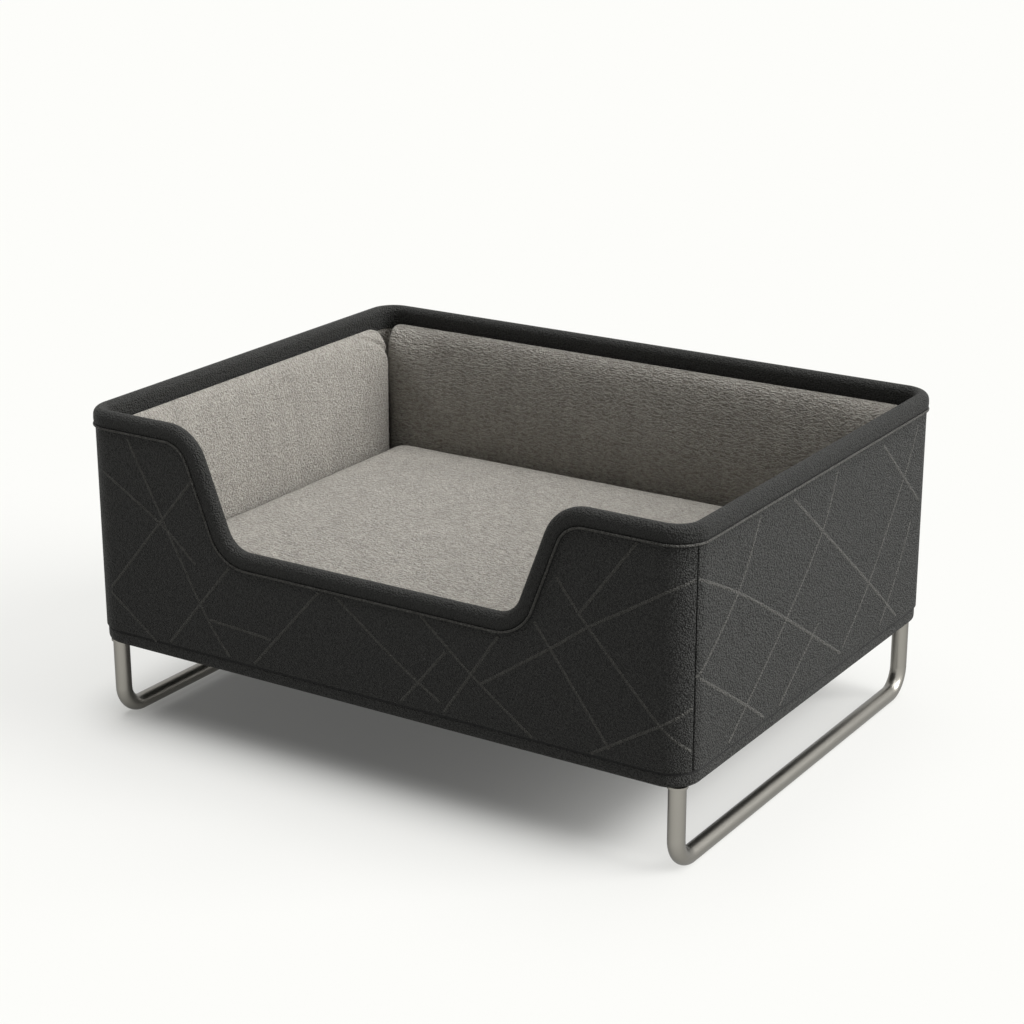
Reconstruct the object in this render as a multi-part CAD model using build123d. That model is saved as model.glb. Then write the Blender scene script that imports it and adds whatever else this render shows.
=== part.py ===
from build123d import *
import os
from math import cos, radians, sin, sqrt

# A dog bed, in millimetres: an upholstered box with a cut-down front, standing on two sled legs
# of bent tube, with a lift-out seat cushion and three bolsters. The origin is on the floor under
# the middle of the box, +X runs along the front to the right, +Y runs to the back.

# Overall sizes
WIDTH = 900.0  # over the outer covers, left to right
DEPTH = 680.0  # over the outer covers, front to back
CORNER_RADIUS = 40.0  # outer covers, seen from above
GROUND_GAP = 115.0  # floor to the underside of the base
WALL_RISE = 295.0  # height of the wall boards

# Base: a plywood board with leatherette drawn round its edge
BASE_PLY = 15.0
BASE_WRAP = 1.5
BASE_INSET = 2.0  # wrapped edge, set in from the outer covers
BASE_EDGE_RADIUS = 8.0  # lower edge of the wrapped base
BASE_TOP_RADIUS = 1.0
WRAP_UNDER = 75.0  # how far the wrap is turned in below
DUST_COVER = 0.8
DUST_INSET = 18.0

# Walls, from the outside in
COVER = 2.5  # foam-backed leatherette
WALL_PLY = 12.0
LINING = 1.5
COVER_GROOVE = 1.5  # shadow gap between the covers and the base
SEAM_ANGLE = 65.0  # the front and back covers wrap this far round each corner
LINING_MITRE = 45.0

# Entrance in the front wall, measured on the wall board's top edge
ENTRY_TOP_WIDTH = 553.0
ENTRY_LOW_WIDTH = 437.0
ENTRY_DROP = 152.0
ENTRY_TOP_RADIUS = 50.0
ENTRY_LOW_RADIUS = 46.0

# Padded rim: a foam half-round under a leatherette binding, with piping below it
BINDING = 2.0
BINDING_OUTER_LEG = 10.0
BINDING_INNER_LEG = 23.0
PIPING_DIAMETER = 3.2

# Joinery
DOWEL_DIAMETER = 6.0
DOWEL_LENGTH = 30.0
DOWEL_IN_POST = 10.0
DOWEL_ROWS = 3
BASE_SCREW_DIAMETER = 3.5
BASE_SCREW_HEAD = 7.0
BASE_SCREW_HEAD_HEIGHT = 2.2
BASE_SCREW_LENGTH = 45.0
BASE_SCREW_RECESS = 3.0
BASE_SCREWS_LONG = 5  # along the front and the back
BASE_SCREWS_SHORT = 4  # along each side
BASE_SCREW_END = 60.0  # from the end of a wall board to its first screw

# Sled legs
TUBE_DIAMETER = 22.0
TUBE_WALL = 1.5
TUBE_BEND = 33.0  # centreline radius
LEG_INSET = 24.0  # tube centre to the outer covers
LEG_PLATE = 3.0
LEG_PLATE_WIDTH = 26.0
LEG_SCREW_PLACES = (28.0, 54.0)  # along the plate from the tube centre
LEG_SCREW_DIAMETER = 6.0
LEG_SCREW_HEAD = 12.0
LEG_SCREW_SPARE = 2.0  # from the screw's tip to the top of the tee nut
TEE_FLANGE_DIAMETER = 19.0
TEE_FLANGE = 1.5
TEE_BARREL_DIAMETER = 8.4
TEE_LENGTH = 11.0

# Cushion and bolsters
CLOTH = 1.6
CUSHION_SIDE = 104.0  # upright side, below the rounded edge
CUSHION_EDGE = 18.0
CUSHION_CROWN = 8.0
CUSHION_LEVEL = 96.0  # breadth of the level middle of its face
CUSHION_CORNER = 40.0
CUSHION_SEAM = 2.5  # how far the lower seam is drawn in
CUSHION_BOW = 3.0  # how far a side is drawn in between its corners
BOLSTER_DROP = 14.2  # top of the wall boards down to the top of a bolster
BOLSTER_SIDE = 13.0
BOLSTER_EDGE = 24.0
BOLSTER_CROWN = 6.0
BOLSTER_LEVEL = 92.0
BOLSTER_CORNER = 38.0
BOLSTER_SEAM = 1.5
BOLSTER_BOW = 2.0
BOLSTER_BOARD = 3.0
STRIP_HEIGHT = 50.0  # hook-and-loop strips behind the bolsters
STRIP_RISE = 190.0  # foot of the bolster to the middle of the strip
STRIP_END = 120.0  # end of the bolster to the end of the strip
STRIP_CORNER = 5.0
LOOP_STRIP = 2.2
HOOK_STRIP = 1.5

# Clearances
FIT = 0.15  # pieces that are fastened together
REST_GAP = 0.3  # a loose piece above what it rests on
PAD_GAP = 1.5  # a loose pad beside its neighbour
PLATE_GAP = 1.0  # dust cover round a leg plate

# Levels
BOARD_FOOT = GROUND_GAP + BASE_WRAP
BOARD_TOP = BOARD_FOOT + BASE_PLY
WALL_FOOT = BOARD_TOP + BASE_WRAP
WALL_TOP = WALL_FOOT + WALL_RISE
PAD_FOOT = BOARD_TOP + REST_GAP
BOLSTER_HEIGHT = WALL_TOP - BOLSTER_DROP - PAD_FOOT
PLATE_FOOT = GROUND_GAP - LEG_PLATE

# Places in plan
STACK = COVER + WALL_PLY + LINING
CORNER_X = WIDTH / 2 - CORNER_RADIUS
CORNER_Y = DEPTH / 2 - CORNER_RADIUS
RIM_RADIUS = CORNER_RADIUS - STACK / 2  # middle of the rim, round a corner
RIM_FACE = STACK + FIT + BINDING  # inner face of the binding, from the outer covers
BOLSTER_BACK = STACK + LOOP_STRIP + REST_GAP + HOOK_STRIP
BOLSTER_THICK = BOLSTER_SIDE + BOLSTER_EDGE + BOLSTER_CROWN
BOLSTER_FACE = BOLSTER_BACK + BOLSTER_THICK
LEG_X = WIDTH / 2 - LEG_INSET
LEG_Y = DEPTH / 2 - LEG_INSET
SIDES = {"left": -1, "right": 1}
ENDS = {"front": -1, "back": 1}

pieces = {}


def plan(inset):
    """The bed's outline seen from above, set in from the outer covers."""
    return RectangleRounded(WIDTH - 2 * inset, DEPTH - 2 * inset, CORNER_RADIUS - inset)


def slab(face, foot, top):
    """A face in plan, raised from one level to another."""
    return extrude(Pos(0, 0, foot) * face, amount=top - foot)


def upright(radius, foot, top):
    """A cylinder on the Z axis from one level to another."""
    return slab(Circle(radius), foot, top)


def wall_sector(name, angle):
    """The plan area of one wall, ending at the given angle round the corners."""
    out_x = 3 * CORNER_RADIUS * sin(radians(angle))
    out_y = 3 * CORNER_RADIUS * cos(radians(angle))
    if name in ENDS:
        s = ENDS[name]
        corners = [
            (-CORNER_X, s * CORNER_Y),
            (-CORNER_X - out_x, s * (CORNER_Y + out_y)),
            (CORNER_X + out_x, s * (CORNER_Y + out_y)),
            (CORNER_X, s * CORNER_Y),
        ]
    else:
        s = SIDES[name]
        corners = [
            (s * CORNER_X, -CORNER_Y),
            (s * (CORNER_X + out_x), -CORNER_Y - out_y),
            (s * (CORNER_X + out_x), CORNER_Y + out_y),
            (s * CORNER_X, CORNER_Y),
        ]
    return Polygon(*corners, align=None)


def front_line(y, half):
    """The line of the front wall's top edge, down into the entrance and up again."""
    low = WALL_TOP - ENTRY_DROP
    corners = [
        (-half, y, WALL_TOP),
        (-ENTRY_TOP_WIDTH / 2, y, WALL_TOP),
        (-ENTRY_LOW_WIDTH / 2, y, low),
        (ENTRY_LOW_WIDTH / 2, y, low),
        (ENTRY_TOP_WIDTH / 2, y, WALL_TOP),
        (half, y, WALL_TOP),
    ]
    radii = [ENTRY_TOP_RADIUS, ENTRY_LOW_RADIUS, ENTRY_LOW_RADIUS, ENTRY_TOP_RADIUS]
    return FilletPolyline(*corners, radius=radii)


def entrance():
    """Everything above the front wall's top edge, to be cut from what stands there."""
    front = -DEPTH / 2 - CORNER_RADIUS
    half = WIDTH / 2 + CORNER_RADIUS
    above = WALL_TOP + CORNER_RADIUS
    edge = front_line(front, half)
    lid = Polyline(
        (half, front, WALL_TOP), (half, front, above), (-half, front, above), (-half, front, WALL_TOP)
    )
    outline = Face(Wire(edge.edges() + lid.edges()))
    return extrude(outline, amount=2 * CORNER_RADIUS, dir=(0, 1, 0))


def wall_shell(name, outer, inner, foot, angle):
    """One wall's layer between two depths of the stack, with the entrance cut from the front one."""
    top = WALL_TOP + (CORNER_RADIUS / 2 if name == "front" else 0)
    shell = slab((plan(outer) - plan(inner)) & wall_sector(name, angle), foot, top)
    return shell - entrance() if name == "front" else shell


def rim_path(name):
    """The middle of the rim on one wall: a path, and the plane square to its start."""
    y = -CORNER_Y - RIM_RADIUS
    if name == "front":
        square = Plane((-CORNER_X, y, WALL_TOP), x_dir=(0, -1, 0), z_dir=(-1, 0, 0))
        return front_line(y, CORNER_X), square
    if name == "back":
        y = CORNER_Y + RIM_RADIUS
        line = Line((-CORNER_X, y, WALL_TOP), (CORNER_X, y, WALL_TOP))
        return line, Plane((-CORNER_X, y, WALL_TOP), x_dir=(0, 1, 0), z_dir=(1, 0, 0))
    s = SIDES[name]
    x = s * CORNER_X
    outer = x + s * RIM_RADIUS
    outwards = 90 - 90 * s
    line = Curve() + [
        CenterArc((x, -CORNER_Y, WALL_TOP), RIM_RADIUS, 270, s * 90),
        Line((outer, -CORNER_Y, WALL_TOP), (outer, CORNER_Y, WALL_TOP)),
        CenterArc((x, CORNER_Y, WALL_TOP), RIM_RADIUS, outwards, s * 90),
    ]
    return line, Plane((x, y, WALL_TOP), x_dir=(0, -1, 0), z_dir=(-1, 0, 0))


def half_round(radius):
    """The two quarter arcs of a half round, from +X over the top to -X."""
    return [CenterArc((0, 0), radius, 0, 90), CenterArc((0, 0), radius, 90, 90)]


def binding_section():
    """An inverted U: X outwards from the middle of the wall, Y up from its top edge."""
    inner = STACK / 2 + FIT
    outer = inner + BINDING
    edges = half_round(outer) + half_round(inner)
    for s, leg in ((1, -BINDING_OUTER_LEG), (-1, -BINDING_INNER_LEG)):
        edges += Polyline((s * outer, 0), (s * outer, leg), (s * inner, leg), (s * inner, 0)).edges()
    return make_face(edges)


def foam_section():
    """The half round of foam that sits on the wall's top edge."""
    radius = STACK / 2
    return make_face(half_round(radius) + [Line((-radius, 0), (radius, 0))])


def piping_section():
    """A round cord against the outer cover, just below the binding."""
    radius = PIPING_DIAMETER / 2
    return Pos(STACK / 2 + radius, -BINDING_OUTER_LEG - radius - FIT) * Circle(radius)


def countersunk_screw(diameter, head, head_height, length):
    """A screw on the Z axis, head down, with the head's face at zero."""
    cone = Pos(0, 0, head_height / 2) * Cone(head / 2, diameter / 2, head_height)
    return cone + upright(diameter / 2, head_height, length)


def base_screw_places():
    """Where the wall boards are screwed down, with each screw's wall."""
    inset = COVER + WALL_PLY / 2
    for name, s in ENDS.items():
        reach = CORNER_X - BASE_SCREW_END
        for i in range(BASE_SCREWS_LONG):
            yield name, -reach + 2 * reach * i / (BASE_SCREWS_LONG - 1), s * (DEPTH / 2 - inset)
    for name, s in SIDES.items():
        reach = CORNER_Y - BASE_SCREW_END
        for i in range(BASE_SCREWS_SHORT):
            yield name, s * (WIDTH / 2 - inset), -reach + 2 * reach * i / (BASE_SCREWS_SHORT - 1)


def dowel_places():
    """Each corner dowel's middle, its turn about Z, its wall and its post."""
    inset = COVER + WALL_PLY / 2
    reach = DOWEL_IN_POST - DOWEL_LENGTH / 2
    for side, sx in SIDES.items():
        for end, sy in ENDS.items():
            for row in range(DOWEL_ROWS):
                z = WALL_FOOT + WALL_RISE * (row + 0.5) / DOWEL_ROWS
                along = Pos(sx * (CORNER_X + reach), sy * (DEPTH / 2 - inset), z) * Rot(0, 90, 0)
                across = Pos(sx * (WIDTH / 2 - inset), sy * (CORNER_Y + reach), z) * Rot(90, 0, 0)
                yield along, end, (side, end)
                yield across, side, (side, end)


def leg_corners():
    """Each leg plate's name and place, with local X running inwards along its diagonal."""
    for side, sx in SIDES.items():
        for end, sy in ENDS.items():
            turn = {(1, 1): 225, (-1, 1): 315, (-1, -1): 45, (1, -1): 135}[(sx, sy)]
            yield f"{end}_{side}_leg_plate", Pos(sx * LEG_X, sy * LEG_Y, 0) * Rot(0, 0, turn)


def pad_outline(length, height, corner, bow):
    """A pad seen face on: rounded corners, with the sides drawn in between them."""
    a = length / 2
    b = height / 2
    cut = corner * (1 - sqrt(0.5))
    return make_face(
        [
            ThreePointArc((corner - a, -b), (0, bow - b), (a - corner, -b)),
            ThreePointArc((a - corner, -b), (a - cut, cut - b), (a, corner - b)),
            ThreePointArc((a, corner - b), (a - bow, 0), (a, b - corner)),
            ThreePointArc((a, b - corner), (a - cut, b - cut), (a - corner, b)),
            ThreePointArc((a - corner, b), (0, b - bow), (corner - a, b)),
            ThreePointArc((corner - a, b), (cut - a, b - cut), (-a, b - corner)),
            ThreePointArc((-a, b - corner), (bow - a, 0), (-a, corner - b)),
            ThreePointArc((-a, corner - b), (cut - a, cut - b), (corner - a, -b)),
        ]
    )


def pad_form(length, height, corner, bow, side, edge, crown, level, seam, foot):
    """A crowned pad on the XY plane: drawn-in seam, upright side, rounded edge, crowned face."""
    reach = (min(length, height) - level) / 2
    steps = [(seam, foot), (0, side / 2)]
    for angle in (0, 22.5, 45, 67.5):
        steps.append((edge * (1 - cos(radians(angle))), side + edge * sin(radians(angle))))
    for share in (0.1, 0.4, 1):
        inset = edge + (reach - edge) * share
        steps.append((inset, side + edge + crown * (1 - (1 - share) ** 2)))
    sections = []
    for inset, z in steps:
        outline = pad_outline(length - 2 * inset, height - 2 * inset, corner, bow)
        sections.append(Pos(0, 0, z) * outline)
    return loft(sections, ruled=True)


def padded_set(place, length, height, corner, bow, side, edge, crown, level, seam, backing):
    """A pad's cover, which is open behind, the backing that closes it, and the foam inside."""

    def form(shrink, foot):
        return pad_form(
            length - 2 * shrink, height - 2 * shrink, corner - shrink, bow,
            side, edge - shrink, crown, level, seam, foot,
        )

    outside = form(0, 0).faces().sort_by(Axis.Z)
    inside = form(CLOTH, 0).faces().sort_by(Axis.Z)
    hem = Face(outside[0].outer_wire(), [inside[0].outer_wire()])
    cover = Solid(Shell([hem, *outside[1:], *inside[1:]]))
    trim = 2 * (CLOTH + seam + FIT)
    back = extrude(pad_outline(length - trim, height - trim, corner - CLOTH, bow), amount=backing)
    foam = form(CLOTH + REST_GAP, backing)
    return [place * solid for solid in (cover, back, foam)]


# Base board and its wrap, with the screws and tee nuts let into them

base_screw = countersunk_screw(
    BASE_SCREW_DIAMETER, BASE_SCREW_HEAD, BASE_SCREW_HEAD_HEIGHT, BASE_SCREW_LENGTH
)
base_screw_hole = countersunk_screw(
    BASE_SCREW_DIAMETER + 2 * FIT,
    BASE_SCREW_HEAD + 2 * FIT,
    BASE_SCREW_HEAD_HEIGHT,
    BASE_SCREW_LENGTH + FIT,
)
base_screw_hole += upright(BASE_SCREW_HEAD / 2 + FIT, -BASE_SCREW_RECESS, 0)
screw_level = BOARD_FOOT + BASE_SCREW_RECESS
base_screws = [(name, Pos(x, y, screw_level)) for name, x, y in base_screw_places()]
base_screw_holes = [place * base_screw_hole for name, place in base_screws]

tee_nut = upright(TEE_FLANGE_DIAMETER / 2, -TEE_FLANGE, 0)
tee_nut += upright(TEE_BARREL_DIAMETER / 2, -TEE_LENGTH, 0)
tee_nut -= upright(LEG_SCREW_DIAMETER / 2 + FIT, -TEE_LENGTH, 0)
tee_hole = upright(TEE_FLANGE_DIAMETER / 2 + FIT, -TEE_FLANGE, 0)
tee_hole += upright(TEE_BARREL_DIAMETER / 2 + FIT, -BASE_PLY - BASE_WRAP, 0)
leg_screw_length = BOARD_TOP - LEG_SCREW_SPARE - PLATE_FOOT
leg_screw = countersunk_screw(LEG_SCREW_DIAMETER, LEG_SCREW_HEAD, LEG_PLATE, leg_screw_length)
leg_screw_hole = countersunk_screw(
    LEG_SCREW_DIAMETER + 2 * FIT, LEG_SCREW_HEAD + 2 * FIT, LEG_PLATE, leg_screw_length
)
tee_places = [
    place * Pos(x, 0, BOARD_TOP) for name, place in leg_corners() for x in LEG_SCREW_PLACES
]
tee_holes = [place * tee_hole for place in tee_places]

board = slab(plan(BASE_INSET + BASE_WRAP), BOARD_FOOT, BOARD_TOP)
board = fillet(board.faces().sort_by(Axis.Z)[0].edges(), BASE_EDGE_RADIUS - BASE_WRAP)
wrap = slab(plan(BASE_INSET), GROUND_GAP, WALL_FOOT)
wrap = fillet(wrap.faces().sort_by(Axis.Z)[0].edges(), BASE_EDGE_RADIUS)
wrap = fillet(wrap.faces().sort_by(Axis.Z)[-1].edges(), BASE_TOP_RADIUS)
wrap -= board
wrap -= slab(plan(STACK), BOARD_TOP, WALL_FOOT + BASE_WRAP)
open_middle = Rectangle(WIDTH - 2 * WRAP_UNDER, DEPTH - 2 * WRAP_UNDER)
wrap -= slab(open_middle, GROUND_GAP - BASE_WRAP, BOARD_FOOT)
pieces["base_board"] = board - base_screw_holes - tee_holes
pieces["base_wrap"] = wrap - base_screw_holes - tee_holes
pieces["base_screws"] = [place * base_screw for name, place in base_screws]
pieces["tee_nuts"] = [place * tee_nut for place in tee_places]

# Walls: boards between quarter-round posts, dowelled together

wall_boards = {}
for name, s in ENDS.items():
    middle = s * (DEPTH / 2 - COVER - WALL_PLY / 2)
    top = WALL_TOP + (CORNER_RADIUS / 2 if name == "front" else 0)
    wall_boards[name] = slab(Pos(0, middle) * Rectangle(2 * CORNER_X, WALL_PLY), WALL_FOOT, top)
wall_boards["front"] -= entrance()
for name, s in SIDES.items():
    middle = s * (WIDTH / 2 - COVER - WALL_PLY / 2)
    wall_boards[name] = slab(Pos(middle, 0) * Rectangle(WALL_PLY, 2 * CORNER_Y), WALL_FOOT, WALL_TOP)

post_ring = plan(COVER) - plan(COVER + WALL_PLY)
posts = {}
for side, sx in SIDES.items():
    for end, sy in ENDS.items():
        quarter = Pos(sx * (CORNER_X + CORNER_RADIUS / 2), sy * (CORNER_Y + CORNER_RADIUS / 2))
        corner = post_ring & (quarter * Rectangle(CORNER_RADIUS, CORNER_RADIUS))
        posts[side, end] = slab(corner, WALL_FOOT, WALL_TOP)

dowels = []
for place, wall, post in dowel_places():
    dowels.append(place * Cylinder(DOWEL_DIAMETER / 2, DOWEL_LENGTH))
    bore = place * Cylinder(DOWEL_DIAMETER / 2 + FIT, DOWEL_LENGTH)
    wall_boards[wall] -= bore
    posts[post] -= bore
for name, place in base_screws:
    wall_boards[name] -= place * base_screw_hole

for name, solid in wall_boards.items():
    pieces[f"{name}_panel"] = solid
for (side, end), solid in posts.items():
    pieces[f"{end}_{side}_post"] = solid
pieces["corner_dowels"] = dowels

# Upholstery on the walls: covers, lining and the padded rim with its piping

piping = []
for name in (*ENDS, *SIDES):
    pieces[f"{name}_cover"] = wall_shell(name, 0, COVER, WALL_FOOT + COVER_GROOVE, SEAM_ANGLE)
    pieces[f"{name}_lining"] = wall_shell(name, STACK - LINING, STACK, WALL_FOOT, LINING_MITRE)
    path, start = rim_path(name)
    pieces[f"{name}_binding"] = sweep(start * binding_section(), path=path)
    pieces[f"{name}_rim_foam"] = sweep(start * foam_section(), path=path)
    piping.append(sweep(start * piping_section(), path=path))
pieces["rim_piping"] = piping

# Sled legs, each one bent tube, with a plate on each end screwed up into tee nuts

dust_cover = slab(plan(DUST_INSET), GROUND_GAP - DUST_COVER, GROUND_GAP)
run = TUBE_DIAMETER / 2
for side, s in SIDES.items():
    ends = [
        (s * LEG_X, -LEG_Y, PLATE_FOOT),
        (s * LEG_X, -LEG_Y, run),
        (s * LEG_X, LEG_Y, run),
        (s * LEG_X, LEG_Y, PLATE_FOOT),
    ]
    tube = Circle(TUBE_DIAMETER / 2) - Circle(TUBE_DIAMETER / 2 - TUBE_WALL)
    pieces[f"{side}_leg"] = sweep(Pos(*ends[0]) * tube, path=FilletPolyline(*ends, radius=TUBE_BEND))

plate_length = LEG_SCREW_PLACES[-1]
for name, place in leg_corners():
    outline = Pos(plate_length / 2, 0) * SlotCenterToCenter(plate_length, LEG_PLATE_WIDTH)
    plate = slab(outline, PLATE_FOOT, GROUND_GAP)
    plate -= [Pos(x, 0, PLATE_FOOT) * leg_screw_hole for x in LEG_SCREW_PLACES]
    pieces[name] = place * plate
    notch = Pos(plate_length / 2, 0) * SlotCenterToCenter(plate_length, LEG_PLATE_WIDTH + 2 * PLATE_GAP)
    dust_cover -= place * slab(notch, PLATE_FOOT, GROUND_GAP)
pieces["dust_cover"] = dust_cover
pieces["leg_screws"] = [
    place * Pos(x, 0, PLATE_FOOT) * leg_screw for name, place in leg_corners() for x in LEG_SCREW_PLACES
]

# Bolsters, which stand on the base against the walls, held by hook-and-loop strips

corner_reach = sqrt((CORNER_RADIUS - RIM_FACE) ** 2 - (CORNER_RADIUS - BOLSTER_BACK) ** 2) - REST_GAP
back_half = CORNER_X + corner_reach
side_front = -CORNER_Y - corner_reach
side_back = DEPTH / 2 - BOLSTER_FACE - PAD_GAP
side_middle = (side_front + side_back) / 2
bolsters = {"back": (2 * back_half, Plane((0, DEPTH / 2, 0), x_dir=(1, 0, 0), z_dir=(0, -1, 0)))}
for side, s in SIDES.items():
    wall = Plane((s * WIDTH / 2, side_middle, 0), x_dir=(0, -s, 0), z_dir=(-s, 0, 0))
    bolsters[side] = (side_back - side_front, wall)
loop_strips = []
for name, (length, wall) in bolsters.items():
    place = wall * Pos(0, PAD_FOOT + BOLSTER_HEIGHT / 2, BOLSTER_BACK)
    cover, back, foam = padded_set(
        place, length, BOLSTER_HEIGHT, BOLSTER_CORNER, BOLSTER_BOW, BOLSTER_SIDE, BOLSTER_EDGE,
        BOLSTER_CROWN, BOLSTER_LEVEL, BOLSTER_SEAM, BOLSTER_BOARD,
    )
    pieces[f"{name}_bolster_cover"] = cover
    pieces[f"{name}_bolster_board"] = back
    pieces[f"{name}_bolster_foam"] = foam
    strip = RectangleRounded(length - 2 * STRIP_END, STRIP_HEIGHT, STRIP_CORNER)
    strip_place = wall * Pos(0, PAD_FOOT + STRIP_RISE, 0)
    hook = extrude(strip, amount=HOOK_STRIP)
    pieces[f"{name}_hook_strip"] = strip_place * Pos(0, 0, BOLSTER_BACK - HOOK_STRIP) * hook
    loop_strips.append(strip_place * Pos(0, 0, STACK) * extrude(strip, amount=LOOP_STRIP))
pieces["loop_strips"] = loop_strips

# Seat cushion, which lies on the base between the bolsters and the front wall

cushion_front = -DEPTH / 2 + RIM_FACE + PAD_GAP
cushion_back = DEPTH / 2 - BOLSTER_FACE - PAD_GAP
cushion_width = WIDTH - 2 * (BOLSTER_FACE + PAD_GAP)
cushion_place = Pos(0, (cushion_front + cushion_back) / 2, PAD_FOOT)
cover, back, foam = padded_set(
    cushion_place, cushion_width, cushion_back - cushion_front, CUSHION_CORNER, CUSHION_BOW,
    CUSHION_SIDE, CUSHION_EDGE, CUSHION_CROWN, CUSHION_LEVEL, CUSHION_SEAM, CLOTH,
)
pieces["cushion_cover"] = cover
pieces["cushion_base"] = back
pieces["cushion_foam"] = foam

os.makedirs("parts", exist_ok=True)
for name, shape in pieces.items():
    if isinstance(shape, list):
        shape = Compound(children=[solid for part in shape for solid in part.solids()])
    export_step(shape, f"parts/{name}.step")
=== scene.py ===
import math

import bpy
from mathutils import Matrix, Vector


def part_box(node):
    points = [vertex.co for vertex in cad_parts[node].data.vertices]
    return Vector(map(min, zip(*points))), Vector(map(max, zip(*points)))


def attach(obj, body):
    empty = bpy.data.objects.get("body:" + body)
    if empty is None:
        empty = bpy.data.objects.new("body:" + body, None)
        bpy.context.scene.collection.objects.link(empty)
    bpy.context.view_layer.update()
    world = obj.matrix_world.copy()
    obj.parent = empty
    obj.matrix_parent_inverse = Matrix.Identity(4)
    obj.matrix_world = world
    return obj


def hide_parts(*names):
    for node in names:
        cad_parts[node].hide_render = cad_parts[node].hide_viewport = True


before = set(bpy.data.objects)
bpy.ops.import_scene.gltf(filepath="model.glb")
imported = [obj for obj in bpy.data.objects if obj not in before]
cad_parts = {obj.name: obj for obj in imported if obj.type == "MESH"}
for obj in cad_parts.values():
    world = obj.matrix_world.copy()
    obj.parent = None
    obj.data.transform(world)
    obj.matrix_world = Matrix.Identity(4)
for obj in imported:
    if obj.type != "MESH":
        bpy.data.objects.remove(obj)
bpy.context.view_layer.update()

bl_info = {
    "name": "Framed Dog Bed",
    "version": (1, 0, 0),
    "blender": (4, 5, 0),
    "location": "View3D > Sidebar > Dog Bed",
    "description": "Dresses the packed dog bed: covers, padded rim, legs, bolsters and cushion",
    "category": "Object",
}

MM = 0.001
SIDES = {"left": -1, "right": 1}
WALLS = ("front", "right", "back", "left")
OUTWARDS = {"front": (0, -1), "right": (1, 0), "back": (0, 1), "left": (-1, 0)}
LONG_WALLS = ("front", "back")
PADS = ("back_bolster", "left_bolster", "right_bolster")
UP = (0, 0, 1)
QUARTER = math.pi / 2
# Steps round a corner in plan, round a bend of the entrance and round a bend of a tube
CORNER_STEPS = 16
BEND_STEPS = 14
TUBE_STEPS = 24
# Steps of a cover round a corner, on the short walls and on the long ones
WRAP_STEPS = (5, 10)


def linear(code):
    """An sRGB hex value as linear red, green and blue."""
    shares = [int(code[i : i + 2], 16) / 255 for i in (1, 3, 5)]
    return [s / 12.92 if s <= 0.04045 else ((s + 0.055) / 1.055) ** 2.4 for s in shares]


def length(title, about, millimetres):
    """A length that a user may change, in metres."""
    return bpy.props.FloatProperty(
        name=title, description=about, default=millimetres * MM, min=0, unit="LENGTH", precision=4
    )


def colour(title, about, code):
    """A colour that a user may change, given as sRGB hex."""
    return bpy.props.FloatVectorProperty(
        name=title, description=about, default=linear(code), min=0, max=1, subtype="COLOR"
    )


class DogBedSizes(bpy.types.PropertyGroup):
    """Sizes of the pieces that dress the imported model."""

    width: length("Width", "Over the outer covers, left to right", 900)
    depth: length("Depth", "Over the outer covers, front to back", 680)
    corner: length("Corner Radius", "Outer covers, seen from above", 40)
    stack: length("Wall Thickness", "Cover, board and lining together", 16)
    cover: length("Cover", "Foam-backed leatherette on the walls", 2.5)
    cover_foot: length("Cover Foot", "Height of the covers' lower edge", 136.2)
    wall_top: length("Wall Top", "Height of the wall boards' top edge", 428)
    entry_top: length("Entrance Width, Top", "Between the wall's top corners", 553)
    entry_low: length("Entrance Width, Foot", "Between the sill's corners", 437)
    entry_drop: length("Entrance Drop", "Wall top down to the sill", 152)
    entry_top_radius: length("Entrance Top Radius", "Bend at the wall's top", 50)
    entry_low_radius: length("Entrance Foot Radius", "Bend at the sill", 46)
    rim_half: length("Rim Half Width", "Middle of the wall to the face of the binding", 10.15)
    rim_outer_leg: length("Rim Outer Leg", "Binding below the wall top, outside", 10)
    rim_inner_leg: length("Rim Inner Leg", "Binding below the wall top, inside", 23)
    piping: length("Piping Diameter", "Cord under the binding's outer edge", 3.2)
    tube: length("Tube Diameter", "Sled legs", 22)
    tube_wall: length("Tube Wall", "Sled legs", 1.5)
    tube_bend: length("Tube Bend", "Centreline radius of the sled legs", 33)
    leg_inset: length("Leg Inset", "Tube centre to the outer covers", 24)
    leg_top: length("Leg Top", "Height of the tube's ends", 112)
    line_width: length("Line Width", "Pressed lines on the covers", 4.6)
    line_rise: length("Line Rise", "How far a pressed line stands proud", 0.35)
    bolster_voxel: length("Bolster Voxel", "Grid of the bolsters before the padding swells", 6)
    cushion_voxel: length("Cushion Voxel", "Grid of the cushion before the padding swells", 9)
    seam_gap: length("Seam Gap", "Half the gap between two covers at a corner seam", 0.6)
    seam_angle: bpy.props.FloatProperty(
        name="Seam Angle",
        description="How far the front and back covers wrap round each corner",
        default=math.radians(65),
        subtype="ANGLE",
    )


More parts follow.
